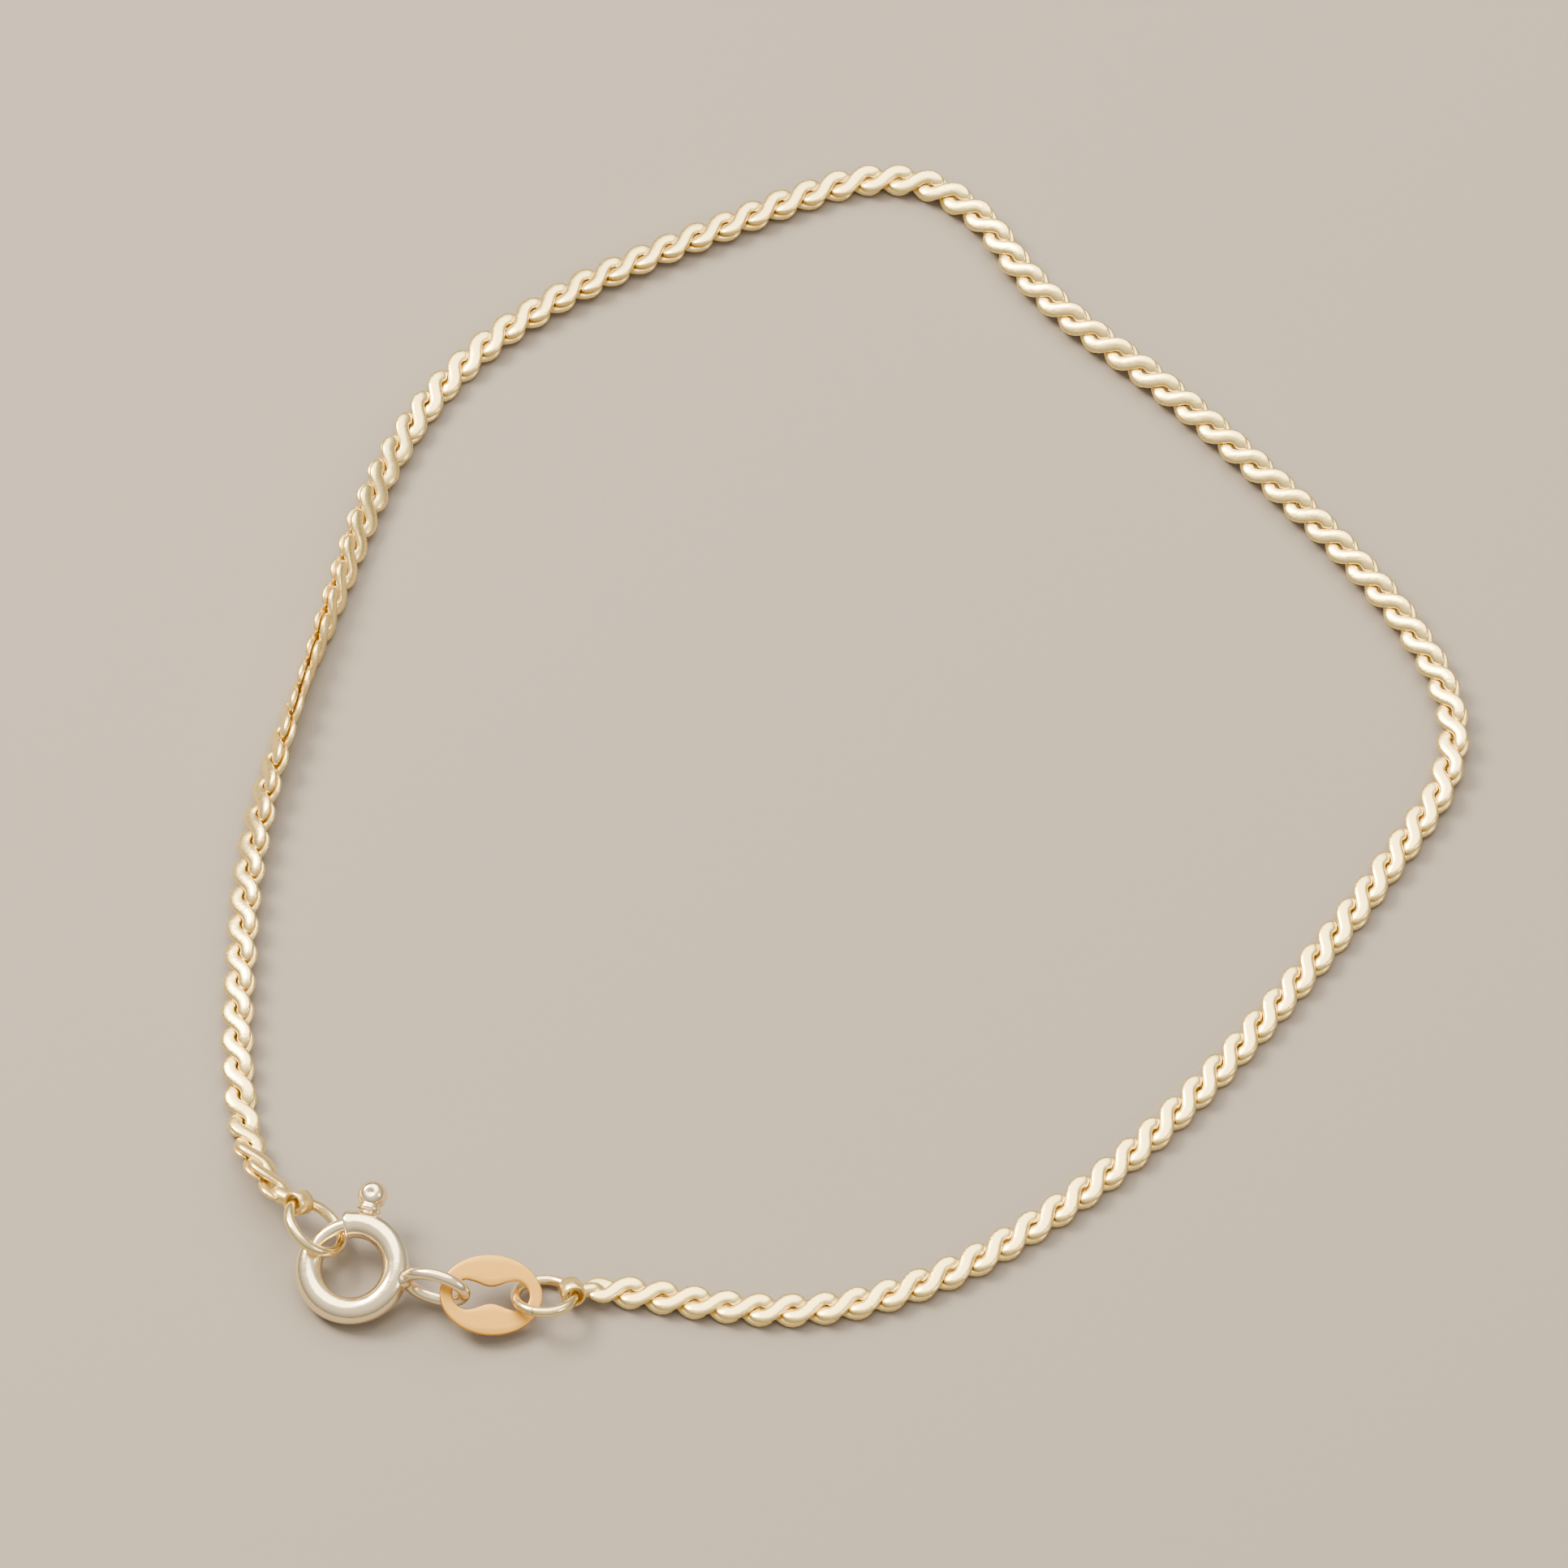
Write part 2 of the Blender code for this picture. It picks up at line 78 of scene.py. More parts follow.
# name: place in mm, size in mm, power in watts, colour
softLights = {
    "keySoftbox": ((-330, 200, 400), 240, 7.0, "#FFF1DC"),
    "overheadSoftbox": ((0, 290, 540), 800, 9.0, "#FFF8EE"),
    "fillSoftbox": ((420, -160, 300), 200, 0.8, "#FFE9D2"),
}


def linearColour(hexText):
    parts = [int(hexText[i : i + 2], 16) / 255 for i in (1, 3, 5)]
    return [p / 12.92 if p <= 0.04045 else ((p + 0.055) / 1.055) ** 2.4 for p in parts] + [1.0]


def addNode(tree, kind, feeds=None, **settings):
    node = tree.nodes.new(kind)
    for name, value in settings.items():
        setattr(node, name, value)
    for socket, value in (feeds or {}).items():
        if isinstance(value, bpy.types.NodeSocket):
            tree.links.new(value, node.inputs[socket])
        else:
            node.inputs[socket].default_value = value
    return node


def perLength(size):
    return 1.0 / (size * mm)  # pattern scale that gives features of this size in mm


def makeCamera(v):
    data = bpy.data.cameras.new("photoCamera")
    data.sensor_width = v["sensor"]
    data.lens = v["sensor"] * v["focalPixels"] / v["framePixels"]
    data.clip_start = 0.01
    data.clip_end = 10
    camera = bpy.data.objects.new("photoCamera", data)
    up = radians(v["elevation"])
    away = Vector((0, -cos(up), sin(up))) * v["distance"]
    camera.location = (Vector(v["aim"]) + away) * mm
    camera.rotation_euler = (radians(90) - up, 0, 0)
    bpy.context.scene.collection.objects.link(camera)
    bpy.context.scene.camera = camera


def makeLights():
    for name, (place, size, power, colour) in softLights.items():
        data = bpy.data.lights.new(name, "AREA")
        data.shape = "DISK"
        data.size = size * mm
        data.energy = power
        data.color = linearColour(colour)[:3]
        light = bpy.data.objects.new(name, data)
        light.location = Vector(place) * mm
        light.rotation_euler = (-light.location).to_track_quat("-Z", "Y").to_euler()
        bpy.context.scene.collection.objects.link(light)
    world = bpy.data.worlds.new("studioSky")
    world.use_nodes = True
    tree = world.node_tree
    background = tree.nodes["Background"]
    background.inputs["Color"].default_value = linearColour(studio["skyColour"])
    # dim at the horizon and bright overhead, so that the metal has dark and light to mirror
    direction = addNode(tree, "ShaderNodeTexCoord").outputs["Generated"]
    height = addNode(tree, "ShaderNodeSeparateXYZ", {"Vector": direction})
    brightness = addNode(
        tree,
        "ShaderNodeMapRange",
        {
            "Value": height.outputs["Z"],
            "From Min": studio["horizonHeight"],
            "From Max": studio["zenithHeight"],
            "To Min": studio["horizonStrength"],
            "To Max": studio["zenithStrength"],
        },
    )
    tree.links.new(brightness.outputs[0], background.inputs["Strength"])
    bpy.context.scene.world = world


def makeFloor():
    # matt painted board, even and pale, with a faint tooth
    paint = bpy.data.materials.new("matt_painted_board")
    paint.use_nodes = True
    tree = paint.node_tree
    shader = tree.nodes["Principled BSDF"]
    shader.inputs["Base Color"].default_value = linearColour(studio["floorColour"])
    shader.inputs["Roughness"].default_value = studio["floorRoughness"]
    coords = addNode(tree, "ShaderNodeTexCoord")
    tooth = addNode(
        tree,
        "ShaderNodeTexNoise",
        {
            "Vector": coords.outputs["Object"],
            "Scale": perLength(studio["toothSize"]),
            "Detail": 3.0,
        },
    )
    bump = addNode(
        tree,
        "ShaderNodeBump",
        {"Height": tooth.outputs[0], "Strength": 0.15, "Distance": studio["toothDepth"] * mm},
    )
    tree.links.new(bump.outputs["Normal"], shader.inputs["Normal"])
    work = bmesh.new()
    bmesh.ops.create_grid(work, x_segments=1, y_segments=1, size=studio["floorSize"] / 2 * mm)
    mesh = bpy.data.meshes.new("floor")
    work.to_mesh(mesh)
    work.free()
    mesh.materials.append(paint)
    floor = bpy.data.objects.new("floor", mesh)
    bpy.context.scene.collection.objects.link(floor)


makeCamera(cameraView)
makeLights()
makeFloor()
print("camera, lights and floor made")


# silver finishes

# the same for every finish: size of the tarnish clouds, how much full tarnish and painted shade
# dulls the gloss, and the way that each of the two sets of scratches runs, in radians
tarnishClouds = {"size": 1.1, "low": 0.35, "high": 0.7, "least": 0.35}
tarnishAndShadeDulls = 0.35
scratchTurns = (0.35, 1.75)

finishes = {
    # sterling silver, tumbled bright: soft warm mirror, warm tarnish and painted shade where links
    # touch
    "tumbled_sterling_silver_chain": {
        "clean": "#FBE092",
        # darker colour for tarnish and for the painted shade in hollows
        "tarnish_and_shade": "#BE9C60",
        "tarnishAndShadeShare": 0.34,
        "roughness": 0.24,
        "roughnessSpread": 0.10,
        "scratchSize": 0.10,
        "scratchStretch": 9.0,
        "scratchDepth": 0.0035,
        "dimpleSize": 0.35,
        "dimpleDepth": 0.012,
    },
    # sterling silver tube and castings, buffed: brighter and whiter than the chain
    "buffed_sterling_silver_clasp": {
        "clean": "#FFEABC",
        "tarnish_and_shade": "#B09568",
        "tarnishAndShadeShare": 0.40,
        "roughness": 0.13,
        "roughnessSpread": 0.09,
        "scratchSize": 0.14,
        "scratchStretch": 14.0,
        "scratchDepth": 0.0025,
        "dimpleSize": 0.9,
        "dimpleDepth": 0.010,
    },
    # drawn sterling silver wire, closed by hand: fine draw lines along it
    "drawn_sterling_silver_wire": {
        "clean": "#F7E0A0",
        "tarnish_and_shade": "#A98A5C",
        "tarnishAndShadeShare": 0.45,
        "roughness": 0.16,
        "roughnessSpread": 0.09,
        "scratchSize": 0.08,
        "scratchStretch": 16.0,
        "scratchDepth": 0.0025,
        "dimpleSize": 0.5,
        "dimpleDepth": 0.008,
    },
    # stamped sterling silver sheet, barrel polished: flat, satin, warmer
    "stamped_sterling_silver_sheet": {
        "clean": "#DFA94C",
        "tarnish_and_shade": "#B88A44",
        "tarnishAndShadeShare": 0.35,
        "roughness": 0.40,
        "roughnessSpread": 0.10,
        "scratchSize": 0.16,
        "scratchStretch": 5.0,
        "scratchDepth": 0.002,
        "dimpleSize": 1.2,
        "dimpleDepth": 0.010,
    },
}


def makeSilver(name, f):
    made = bpy.data.materials.new(name)
    made.use_nodes = True
    tree = made.node_tree
    shader = tree.nodes["Principled BSDF"]
    shader.inputs["Metallic"].default_value = 1.0
    spot = addNode(tree, "ShaderNodeTexCoord").outputs["Object"]
    # the attribute read here carries tarnish and painted shade in the hollows and between parts
    tarnishAndShadeLevel = addNode(tree, "ShaderNodeAttribute", attribute_name="tarnish_and_shade").outputs["Fac"]

    # cloudy tarnish together with painted shade, gathered in the hollows that the attribute marks:
    # the darker colour stands partly for the shade there
    cloud = addNode(
        tree,
        "ShaderNodeTexNoise",
        {"Vector": spot, "Scale": perLength(tarnishClouds["size"]), "Detail": 4.0},
    )
    patchy = addNode(
        tree,
        "ShaderNodeMapRange",
        {
            "Value": cloud.outputs[0],
            "From Min": tarnishClouds["low"],
            "From Max": tarnishClouds["high"],
            "To Min": tarnishClouds["least"],
            "To Max": 1.0,
        },
    )
    share = addNode(
        tree,
        "ShaderNodeMath",
        {0: tarnishAndShadeLevel, 1: patchy.outputs[0]},
        operation="MULTIPLY",
    )
    tarnishAndShadeCover = addNode(
        tree,
        "ShaderNodeMath",
        {0: share.outputs[0], 1: f["tarnishAndShadeShare"]},
        operation="MULTIPLY",
        use_clamp=True,
    )
    colour = addNode(
        tree,
        "ShaderNodeMix",
        {0: tarnishAndShadeCover.outputs[0], 6: linearColour(f["clean"]), 7: linearColour(f["tarnish_and_shade"])},
        data_type="RGBA",
    )
    tree.links.new(colour.outputs[2], shader.inputs["Base Color"])

    # hairline scratches in two directions
    lines = []
    for turn in scratchTurns:
        mapped = addNode(
            tree,
            "ShaderNodeMapping",
            {
                "Vector": spot,
                "Rotation": (0.4 * turn, 0.2, turn),
                "Scale": (1.0, f["scratchStretch"], f["scratchStretch"]),
            },
        )
        hair = addNode(
            tree,
            "ShaderNodeTexNoise",
            {
                "Vector": mapped.outputs[0],
                "Scale": perLength(f["scratchSize"] * f["scratchStretch"]),
                "Detail": 2.0,
            },
        )
        lines.append(hair.outputs[0])
    scratched = addNode(tree, "ShaderNodeMath", {0: lines[0], 1: lines[1]}, operation="ADD")
    dimples = addNode(
        tree,
        "ShaderNodeTexNoise",
        {"Vector": spot, "Scale": perLength(f["dimpleSize"]), "Detail": 1.0},
    )

    rough = addNode(
        tree,
        "ShaderNodeMapRange",
        {
            "Value": scratched.outputs[0],
            "From Min": 0.7,
            "From Max": 1.35,
            "To Min": f["roughness"],
            "To Max": f["roughness"] + f["roughnessSpread"],
        },
    )
    dull = addNode(
        tree,
        "ShaderNodeMath",
        {0: tarnishAndShadeCover.outputs[0], 1: tarnishAndShadeDulls, 2: rough.outputs[0]},
        operation="MULTIPLY_ADD",
        use_clamp=True,
    )
    tree.links.new(dull.outputs[0], shader.inputs["Roughness"])

    hairs = addNode(
        tree,
        "ShaderNodeBump",
        {"Height": scratched.outputs[0], "Strength": 1.0, "Distance": f["scratchDepth"] * mm},
    )
    hollow = addNode(
        tree,
        "ShaderNodeBump",
        {
            "Height": dimples.outputs[0],
            "Strength": 1.0,
            "Distance": f["dimpleDepth"] * mm,
            "Normal": hairs.outputs["Normal"],
        },
    )
    tree.links.new(hollow.outputs["Normal"], shader.inputs["Normal"])
    return made


silver = {name: makeSilver(name, finish) for name, finish in finishes.items()}
print("finishes made:", len(silver))


# shared modelling steps


def leaningAxes(leanX, leanY):
    # axes of a flat piece whose upward normal leans by these angles
    normal = Vector((sin(radians(leanX)), sin(radians(leanY)), 1.0)).normalized()
    across = Vector((1, 0, 0))
    across = (across - across.dot(normal) * normal).normalized()
    return across, normal.cross(across), normal


def axesMatrix(centre, axes):
    turned = Matrix((axes[0], axes[1], axes[2])).transposed().to_4x4()
    return Matrix.Translation(Vector(centre)) @ turned


def sectionMatrix(centre, across, up, halfWidth, halfHeight):
    # unit circle to a section of this size: x goes across, y goes up
    ahead = across.cross(up)
    made = Matrix((across * halfWidth, up * halfHeight, ahead)).transposed().to_4x4()
    made.translation = centre
    return made


def sweep(work, places, segments, closed=False, capped=True):
    # a circle at the first place, extruded through the others
    ring = bmesh.ops.create_circle(work, segments=segments, radius=1.0, matrix=places[0])["verts"]
    inside = set(ring)
    edges = [e for e in work.edges if e.verts[0] in inside and e.verts[1] in inside]
    firstEdges = edges
    for before, after in zip(places, places[1:]):
        made = bmesh.ops.extrude_edge_only(work, edges=edges)["geom"]
        verts = [g for g in made if isinstance(g, bmesh.types.BMVert)]
        edges = [g for g in made if isinstance(g, bmesh.types.BMEdge)]
        inside = set(verts)
        edges = [e for e in edges if e.verts[0] in inside and e.verts[1] in inside]
        bmesh.ops.transform(work, matrix=after @ before.inverted(), verts=verts)
    if closed:
        bmesh.ops.bridge_loops(work, edges=firstEdges + edges)
    elif capped:
        bmesh.ops.contextual_create(work, geom=firstEdges)
        bmesh.ops.contextual_create(work, geom=edges)
    bmesh.ops.recalc_face_normals(work, faces=work.faces)


def ringPlaces(radius, wireRadius, start, end, steps, swell=None):
    # sections of a round wire bent to a circle, in the ring's own plane
    places = []
    for index in range(steps + 1):
        a = radians(start + (end - start) * index / steps)
        out = Vector((cos(a), sin(a), 0))
        size = wireRadius * (swell(index / steps) if swell else 1.0)
        places.append(sectionMatrix(out * radius, out, Vector((0, 0, 1)), size, size))
    return places


def lathe(work, profile, matrix, steps=32):
    # (radius, height) points, joined and spun round the local Z axis
    verts = [work.verts.new((r, 0, z)) for r, z in profile]
    edges = [work.edges.new(pair) for pair in zip(verts, verts[1:])]
    bmesh.ops.spin(
        work,
        geom=verts + edges,
        cent=(0, 0, 0),
        axis=(0, 0, 1),
        dvec=(0, 0, 0),
        angle=2 * pi,
        steps=steps,
        use_merge=True,
        use_duplicate=False,
    )
    bmesh.ops.remove_doubles(work, verts=work.verts, dist=1e-5)
    bmesh.ops.recalc_face_normals(work, faces=work.faces)
    bmesh.ops.transform(work, matrix=matrix, verts=work.verts)


def join(work, other):
    # adds the other bmesh to this one and frees it
    spare = bpy.data.meshes.new("spare")
    other.to_mesh(spare)
    other.free()
    work.from_mesh(spare)
    bpy.data.meshes.remove(spare)


def fade(value, start, end):
    # 0 before start, 1 after end, smooth between
    t = min(max((value - start) / (end - start), 0.0), 1.0)
    return t * t * (3 - 2 * t)


def markTarnishAndShade(work, rule):
    # rule gives each point's share of tarnish and painted shade, which the finishes read
    layer = work.verts.layers.float.new("tarnish_and_shade")
    for vert in work.verts:
        vert[layer] = rule(vert.co)


def nearTarnishAndShade(measure, least, extra, start, end):
    # least everywhere, and extra more where the measure, in mm, is below start, gone by end
    return lambda co: least + extra * (1 - fade(measure(co), start, end))


def evenTarnish(share):
    return lambda co: share


def finishPiece(name, work, body, node, finish, sharp=None, subdivisions=0):
    # from a bmesh in mm to a piece in metres that rides on its body and stands for its node
    mesh = bpy.data.meshes.new(name)
    bmesh.ops.transform(work, matrix=Matrix.Scale(mm, 4), verts=work.verts)
    work.to_mesh(mesh)
    work.free()
    mesh.materials.append(silver[finish])
    mesh.shade_smooth()
    if sharp:
        mesh.set_sharp_from_angle(angle=radians(sharp))
    piece = bpy.data.objects.new(name, mesh)
    bpy.context.scene.collection.objects.link(piece)
    if subdivisions:
        smoother = piece.modifiers.new("smoother", "SUBSURF")
        smoother.levels = smoother.render_levels = subdivisions
    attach(piece, body)
    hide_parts(node)
    print("made", name, len(mesh.polygons), "faces")


# jump rings: drawn wire, each closed to a hairline seam

jumpRings = {
    "jump_ring_clasp": {
        "centre": (-25.282, -28.037, 1.786),
        "lean": (49.2, 20.0),
        "radius": 1.473,
        "wire": 0.265,
        "seam": 20.0,
    },
    "jump_ring_tag": {
        "centre": (-14.459, -31.267, 1.006),
        "lean": (0.0, 34.3),
        "radius": 1.372,
        "wire": 0.245,
        "seam": 250.0,
    },
}

# both rings: half of the seam, and how the cut ends round off and narrow
jumpRingWire = {
    "seamHalf": 0.55,
    "cutLength": 1.6,
    "cutNarrow": 0.05,
    "steps": 96,
    "segments": 24,
    "seamTarnish": (0.12, 0.8, 0.28, 0.5),
}

# the clasp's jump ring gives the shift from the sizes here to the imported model
low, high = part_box("jump_ring_clasp")
tableShift = (low + high) / 2 / mm - Vector(jumpRings["jump_ring_clasp"]["centre"])
print("shift to the packed model in mm:", [round(v, 4) for v in tableShift])


def placed(centre, axes):
    return axesMatrix(Vector(centre) + tableShift, axes)


def makeJumpRing(name, j, w):
    work = bmesh.new()

    def swell(share):
        fromCut = min(share, 1 - share) * 360
        return (1 - w["cutNarrow"]) + w["cutNarrow"] * fade(fromCut, 0.0, w["cutLength"])

    start = j["seam"] + w["seamHalf"]
    end = j["seam"] + 360 - w["seamHalf"]
    sweep(work, ringPlaces(j["radius"], j["wire"], start, end, w["steps"], swell), w["segments"])
    seam = Vector((cos(radians(j["seam"])), sin(radians(j["seam"])), 0)) * j["radius"]
    markTarnishAndShade(work, nearTarnishAndShade(lambda co: (co - seam).length, *w["seamTarnish"]))
    bmesh.ops.transform(work, matrix=placed(j["centre"], leaningAxes(*j["lean"])), verts=work.verts)
    finishPiece(
        name + "_wire",
        work,
        "bracelet",
        name,
        "drawn_sterling_silver_wire",
        sharp=60,
    )


for ringName, ring in jumpRings.items():
    makeJumpRing(ringName, ring, jumpRingWire)


# spring ring: hollow tube bent to a ring, slotted for the knob, with a soldered eye

clasp = {
    "centre": (-23.51, -29.88, 1.24),
    "leanX": -8.0,
    "leanY": -14.0,
    "radius": 2.10,
    "tubeRadius": 0.65,
    "wall": 0.20,
    "gapStart": 100.0,
    "gapEnd": 158.0,
    "mouthLength": 2.5,
    "mouthNarrow": 0.07,
    "collarSwell": 1.07,
    "collarLength": 9.0,
    "collarFlat": 0.7,
    "slotStart": 0.0,
    "slotEnd": 87.0,
    "slotHalfAngle": 37.0,
    "tubeSegments": 32,
    "tubeSteps": 112,
    # inside the tube: tarnish and painted shade
    "insideTarnishAndShade": (0.08, 0.9, 0.40, 0.60),
    "eyeAngle": -15.0,
    "eyeWire": 0.30,
    "eyeHalfLength": 1.42,
    "eyeHalfHeight": 0.96,
    "eyeDistance": 4.12,
    "eyeLean": 22.0,
    "eyeSteps": 48,
    "eyeSegments": 20,
    "eyeFootTarnish": (0.1, 0.8, -0.1, 0.35),
    "solderSink": 0.06,
    "solderTarnish": 0.75,
}

# solder at the foot of the eye: radius and height in mm
solderProfile = [
    (0.00, 0.30),
    (0.20, 0.27),
    (0.33, 0.16),
    (0.42, 0.03),
    (0.55, -0.10),
    (0.62, -0.22),
]


def degreesOf(y, x):
    return Vector((x, y)).angle_signed(Vector((1, 0))) * 180 / pi if x or y else 0.0


def tubeDepth(co, c):
    # distance from the middle of the bent tube
    return Vector((Vector((co.x, co.y)).length - c["radius"], co.z)).length


def makeSpringRing(c):
    work = bmesh.new()
    turn = c["gapStart"] + 360 - c["gapEnd"]

    def swell(share):
        fromEnd = (1 - share) * turn
        inCollar = 1 - fade(fromEnd, c["collarLength"] * c["collarFlat"], c["collarLength"])
        collar = 1 + (c["collarSwell"] - 1) * inCollar
        fromMouth = min(share, 1 - share) * turn
        opened = fade(fromMouth, 0.0, c["mouthLength"])
        return collar * ((1 - c["mouthNarrow"]) + c["mouthNarrow"] * opened)

    places = ringPlaces(
        c["radius"], c["tubeRadius"], c["gapEnd"], c["gapStart"] + 360, c["tubeSteps"], swell
    )
    sweep(work, places, c["tubeSegments"], capped=False)

    # slot for the knob, cut in the outer side before the tube gets its wall
    slotFaces = []
    for face in work.faces:
        spot = face.calc_center_median()
        flat = Vector((spot.x, spot.y, 0))
        along = (degreesOf(spot.y, spot.x) + 360) % 360
        aroundTube = degreesOf(spot.z, flat.length - c["radius"])
        if c["slotStart"] < along < c["slotEnd"] and abs(aroundTube) < c["slotHalfAngle"]:
            slotFaces.append(face)
    bmesh.ops.delete(work, geom=slotFaces, context="FACES")
    bmesh.ops.solidify(work, geom=work.faces[:], thickness=c["wall"])
    # darker inside the tube and on the slot's walls: tarnish and painted shade
    markTarnishAndShade(work, nearTarnishAndShade(lambda co: tubeDepth(co, c), *c["insideTarnishAndShade"]))

    # soldered eye, standing across the ring
    out = Vector((cos(radians(c["eyeAngle"])), sin(radians(c["eyeAngle"])), 0))
    roundWay = Vector((-out.y, out.x, 0))
    rise = Vector((0, 0, 1)) * cos(radians(c["eyeLean"])) + roundWay * sin(radians(c["eyeLean"]))
    eye = bmesh.new()
    places = []
    for index in range(c["eyeSteps"]):
        a = 2 * pi * index / c["eyeSteps"]
        spot = out * (c["eyeDistance"] + c["eyeHalfLength"] * cos(a))
        spot = spot + rise * c["eyeHalfHeight"] * sin(a)
        along = (rise * c["eyeHalfHeight"] * cos(a) - out * c["eyeHalfLength"] * sin(a)).normalized()
        flat = out.cross(rise).normalized()
        places.append(sectionMatrix(spot, along.cross(flat), flat, c["eyeWire"], c["eyeWire"]))
    sweep(eye, places, c["eyeSegments"], closed=True)
    joint = c["radius"] + c["tubeRadius"]
    markTarnishAndShade(eye, nearTarnishAndShade(lambda co: co.length - joint, *c["eyeFootTarnish"]))
    join(work, eye)
    solder = bmesh.new()
    turned = out.to_track_quat("Z", "Y").to_matrix().to_4x4()
    lathe(solder, solderProfile, Matrix.Translation(out * (joint - c["solderSink"])) @ turned)
    markTarnishAndShade(solder, evenTarnish(c["solderTarnish"]))
    join(work, solder)
    bmesh.ops.transform(
        work, matrix=placed(c["centre"], leaningAxes(c["leanX"], c["leanY"])), verts=work.verts
    )
    finishPiece(
        "spring_ring_tube",
        work,
        "bracelet",
        "spring_ring",
        "buffed_sterling_silver_clasp",
        sharp=50,
    )


makeSpringRing(clasp)


# bolt: bent rod with a thumb knob on a flared neck

bolt = {
    "radius": 0.33,
    "tip": 164.0,
    "tail": 52.0,
    "endLength": 6.0,
    "rodSteps": 60,
    "rodSegments": 24,
    "rodTarnish": 0.25,
    "knobAngle": 75.0,
    "knobDistance": 3.60,
    "knobRadius": 0.71,
    "headEdge": 74,
    "headSteps": 14,
    "stemRadius": 0.34,
    "shoulderGap": 0.07,
    "flareRadius": 0.60,
    "neckRadius": 0.48,
    "neckTarnishAndShade": (0.15, 0.6, 0.0, 0.12),
    "dimpleRadius": 0.17,
    "dimpleTarnishAndShade": (0.05, 0.9, 0.085, 0.272),
}


def makeBolt(b, c):
    work = bmesh.new()

    def swell(share):
        # both ends of the rod are round
        fromEnd = min(share, 1 - share) * (b["tip"] - b["tail"])
        t = min(fromEnd / b["endLength"], 1.0)
        return max((1 - (1 - t) ** 2) ** 0.5, 0.05)

    places = ringPlaces(c["radius"], b["radius"], b["tail"], b["tip"], b["rodSteps"], swell)
    sweep(work, places, b["rodSegments"])
    markTarnishAndShade(work, evenTarnish(b["rodTarnish"]))

    # stem, flare over the slot, and neck
    a = radians(b["knobAngle"])
    out = Vector((cos(a), sin(a), 0))
    turned = out.to_track_quat("Z", "Y").to_matrix().to_4x4()
    shoulder = c["radius"] + c["tubeRadius"] + b["shoulderGap"]
    head = b["knobDistance"]
    neck = bmesh.new()
    profile = [
        (0.0, c["radius"]),
        (b["stemRadius"], c["radius"]),
        (b["stemRadius"], shoulder - 0.01),
        (b["flareRadius"] - 0.05, shoulder),
        (b["flareRadius"], shoulder + 0.05),
        (b["flareRadius"] - 0.02, shoulder + 0.14),
        (b["neckRadius"] + 0.02, shoulder + 0.34),
        (b["neckRadius"], head - 0.3),
        (b["neckRadius"] - 0.1, head),
        (0.0, head),
    ]
    lathe(neck, profile, turned)
    # darker on the neck just above the tube, where it sits in the slot: tarnish and painted shade
    markTarnishAndShade(neck, nearTarnishAndShade(lambda co: co.length - shoulder, *b["neckTarnishAndShade"]))
    join(work, neck)

    # round head, its small dimple facing up
    knob = bmesh.new()
    r, d = b["knobRadius"], b["dimpleRadius"]
    profile = [(0.0, r * 0.80), (d * 0.55, r * 0.83), (d * 0.95, r * 0.93)]
    for index in range(1, b["headSteps"] + 1):
        angle = radians(b["headEdge"] - (b["headEdge"] + 90) * index / b["headSteps"])
        profile.append((max(r * cos(angle), 0.0), r * sin(angle)))
    lathe(knob, profile, Matrix.Translation(out * head))
    top = out * head + Vector((0, 0, r))
    # darker in the dimple: painted shade, with some tarnish
    markTarnishAndShade(knob, nearTarnishAndShade(lambda co: (co - top).length, *b["dimpleTarnishAndShade"]))
    join(work, knob)
    bmesh.ops.transform(
        work, matrix=placed(c["centre"], leaningAxes(c["leanX"], c["leanY"])), verts=work.verts
    )
    finishPiece(
        "spring_ring_bolt_and_knob",
        work,
        "bolt",
        "spring_ring_bolt",
        "buffed_sterling_silver_clasp",
        sharp=60,
    )


makeBolt(bolt, clasp)


# end tag: stamped flat oval with a waisted slot, left bare

tag = {
    "centre": (-16.97, -31.34, 1.22),
    "lean": (9.2, -16.5),
    "halfLength": 2.43,
    "halfWidth": 1.93,
    "thickness": 0.28,
    "edge": 0.07,
    "edgeSteps": 3,
    "cornerAngle": 1.2,  # radians
    "rimSegments": 96,
    "bands": 3,
    "slotHalfLength": 1.83,
    "slotEndRadius": 0.72,
    "slotShoulder": 0.97,
    "slotWaist": 0.42,
    "tarnish_and_shade": 0.25,
    "rubTarnishAndShade": 0.4,
    "rubAlong": (1.4, 2.2),
    "rubAcross": (0.5, 0.9),
}


